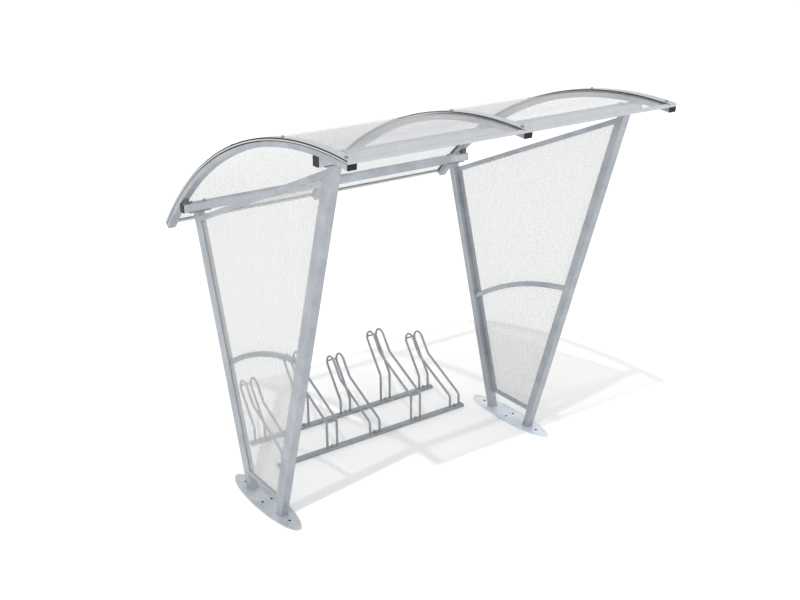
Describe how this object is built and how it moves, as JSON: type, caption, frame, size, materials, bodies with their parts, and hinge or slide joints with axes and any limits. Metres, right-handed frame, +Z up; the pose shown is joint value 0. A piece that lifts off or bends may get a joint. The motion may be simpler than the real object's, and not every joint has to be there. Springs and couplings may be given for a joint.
{
  "type": "bike shelter",
  "caption": "Open steel bike shelter with a curved cellular roof, two leaning glazed side frames on oval base plates, and a staggered bike rack inside.",
  "frame": {"origin": "on the ground, under the centre of the whole shelter's box", "axes": "+X along the shelter, +Y from the open front to the back, +Z up"},
  "size_m": [2.1, 2.072, 2.3449],
  "materials": {
    "galvanised_steel": "hot-dip galvanised, satin with faint spangle",
    "rack_steel": "hot-dip galvanised, matt and darker",
    "cellular_sheet": "clear cellular polycarbonate with fine ribs",
    "black_plastic": "moulded, fine grain",
    "dark_rubber": "matt extruded rubber",
    "pale_aluminium": "plain extruded, satin"
  },
  "bodies": {
    "root": {"base_plate_left": "galvanised_steel", "base_plate_right": "galvanised_steel", "front_post_left": "galvanised_steel", "front_post_right": "galvanised_steel", "rear_post_left": "galvanised_steel", "rear_post_right": "galvanised_steel", "front_purlin": "galvanised_steel", "rear_purlin": "galvanised_steel", "front_purlin_caps": "black_plastic", "rear_purlin_caps": "black_plastic", "side_top_bar_left": "galvanised_steel", "side_top_bar_right": "galvanised_steel", "side_bottom_bar_left": "galvanised_steel", "side_bottom_bar_right": "galvanised_steel", "side_channels_left": "galvanised_steel", "side_channels_right": "galvanised_steel", "side_arched_bar_left": "galvanised_steel", "side_arched_bar_right": "galvanised_steel", "side_panel_left": "cellular_sheet", "side_panel_right": "cellular_sheet", "roof_arch_left": "galvanised_steel", "roof_arch_middle": "galvanised_steel", "roof_arch_right": "galvanised_steel", "arch_end_caps": "black_plastic", "rear_wedges": "dark_rubber", "gaskets_left": "dark_rubber", "gaskets_middle": "dark_rubber", "gaskets_right": "dark_rubber", "roof_sheet_left": "cellular_sheet", "roof_sheet_right": "cellular_sheet", "front_edge_left": "pale_aluminium", "front_edge_right": "pale_aluminium", "rear_edge_left": "pale_aluminium", "rear_edge_right": "pale_aluminium", "cover_strip_left": "pale_aluminium", "cover_strip_middle": "pale_aluminium", "cover_strip_right": "pale_aluminium", "rack_front_rail": "rack_steel", "rack_rear_rail": "rack_steel", "rack_holder_1": "rack_steel", "rack_holder_2": "rack_steel", "rack_holder_3": "rack_steel", "rack_holder_4": "rack_steel", "rack_holder_5": "rack_steel"}
  },
  "joints": []
}
